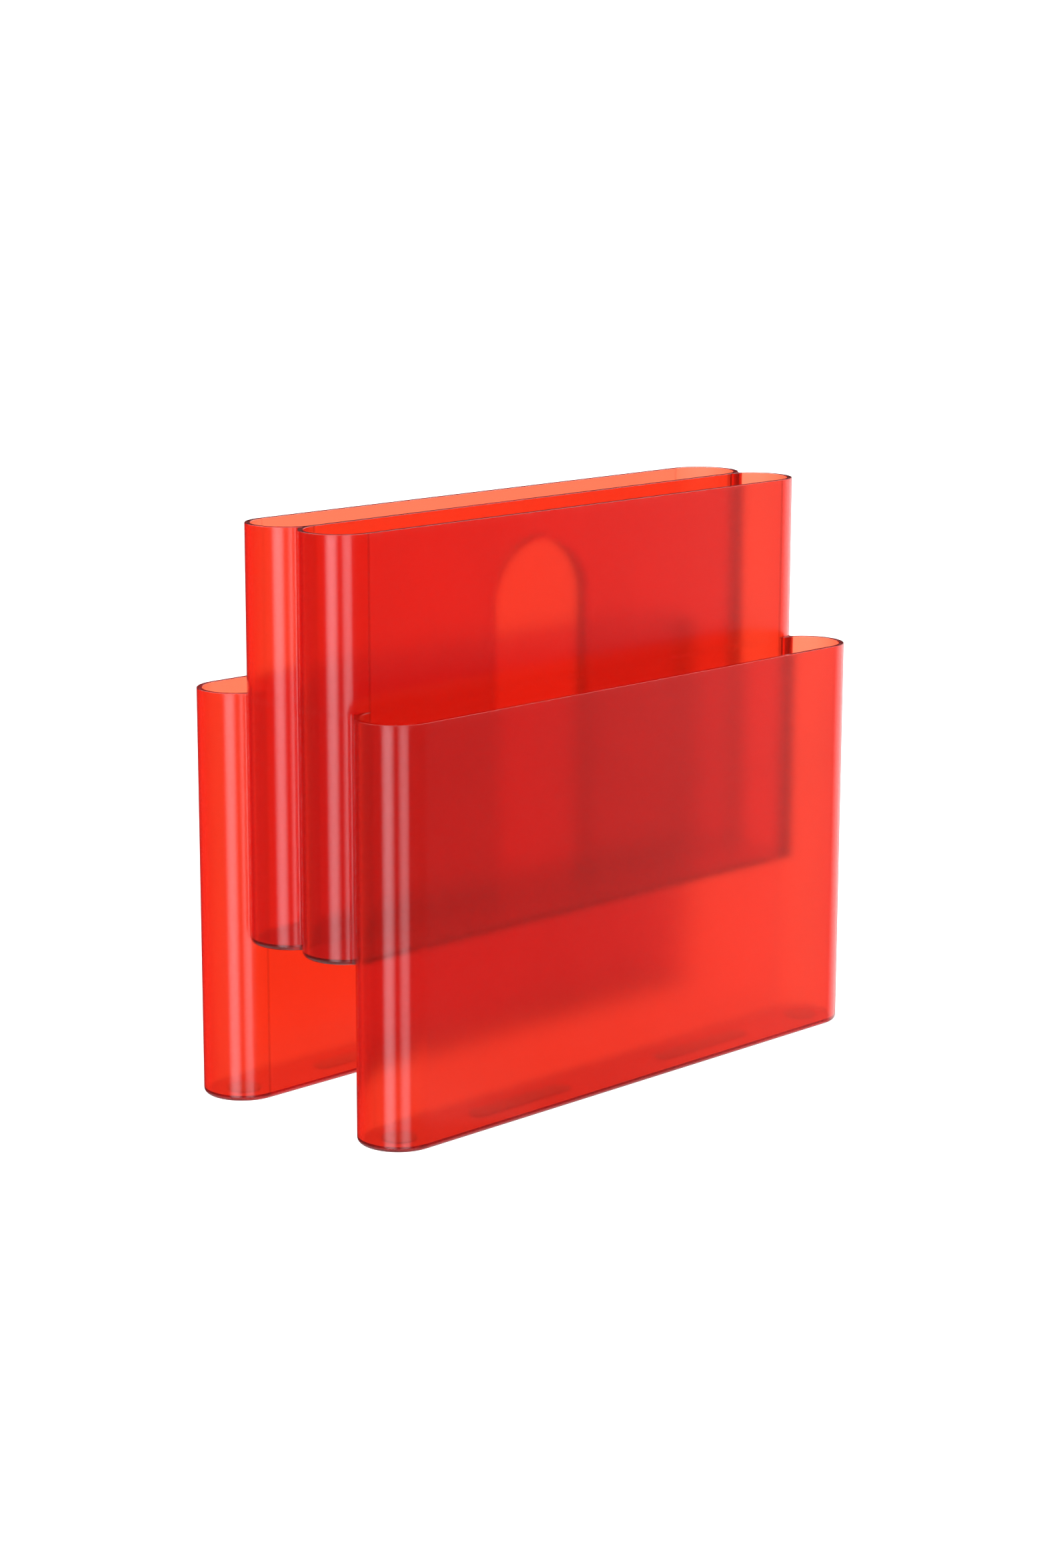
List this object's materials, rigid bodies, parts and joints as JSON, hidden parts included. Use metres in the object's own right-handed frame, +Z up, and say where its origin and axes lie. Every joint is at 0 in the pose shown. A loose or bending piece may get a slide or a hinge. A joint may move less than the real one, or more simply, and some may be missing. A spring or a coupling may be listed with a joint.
{
  "type": "magazine rack",
  "caption": "Clear tinted acrylic magazine rack with stepped upright pockets, shared walls and an arched carrying grip.",
  "frame": {"origin": "middle of the rack on the table, under its centre wall", "axes": "+X along the rack, +Y from the front pocket to the rear pocket, +Z up"},
  "size_m": [0.4, 0.1816, 0.345],
  "materials": {
    "tinted_acrylic": "polished",
    "foot_pad": "satin"
  },
  "bodies": {
    "root": {"centre_grip_wall": "tinted_acrylic", "front_divider": "tinted_acrylic", "front_inner_end_left": "tinted_acrylic", "front_inner_end_right": "tinted_acrylic", "front_inner_floor": "tinted_acrylic", "front_long_foot_left": "foot_pad", "front_long_foot_right": "foot_pad", "front_pocket_floor": "tinted_acrylic", "front_pocket_shell": "tinted_acrylic", "front_round_foot_left": "foot_pad", "front_round_foot_right": "foot_pad", "rear_divider": "tinted_acrylic", "rear_inner_end_left": "tinted_acrylic", "rear_inner_end_right": "tinted_acrylic", "rear_inner_floor": "tinted_acrylic", "rear_long_foot_left": "foot_pad", "rear_long_foot_right": "foot_pad", "rear_pocket_floor": "tinted_acrylic", "rear_pocket_shell": "tinted_acrylic", "rear_round_foot_left": "foot_pad", "rear_round_foot_right": "foot_pad"}
  },
  "joints": []
}
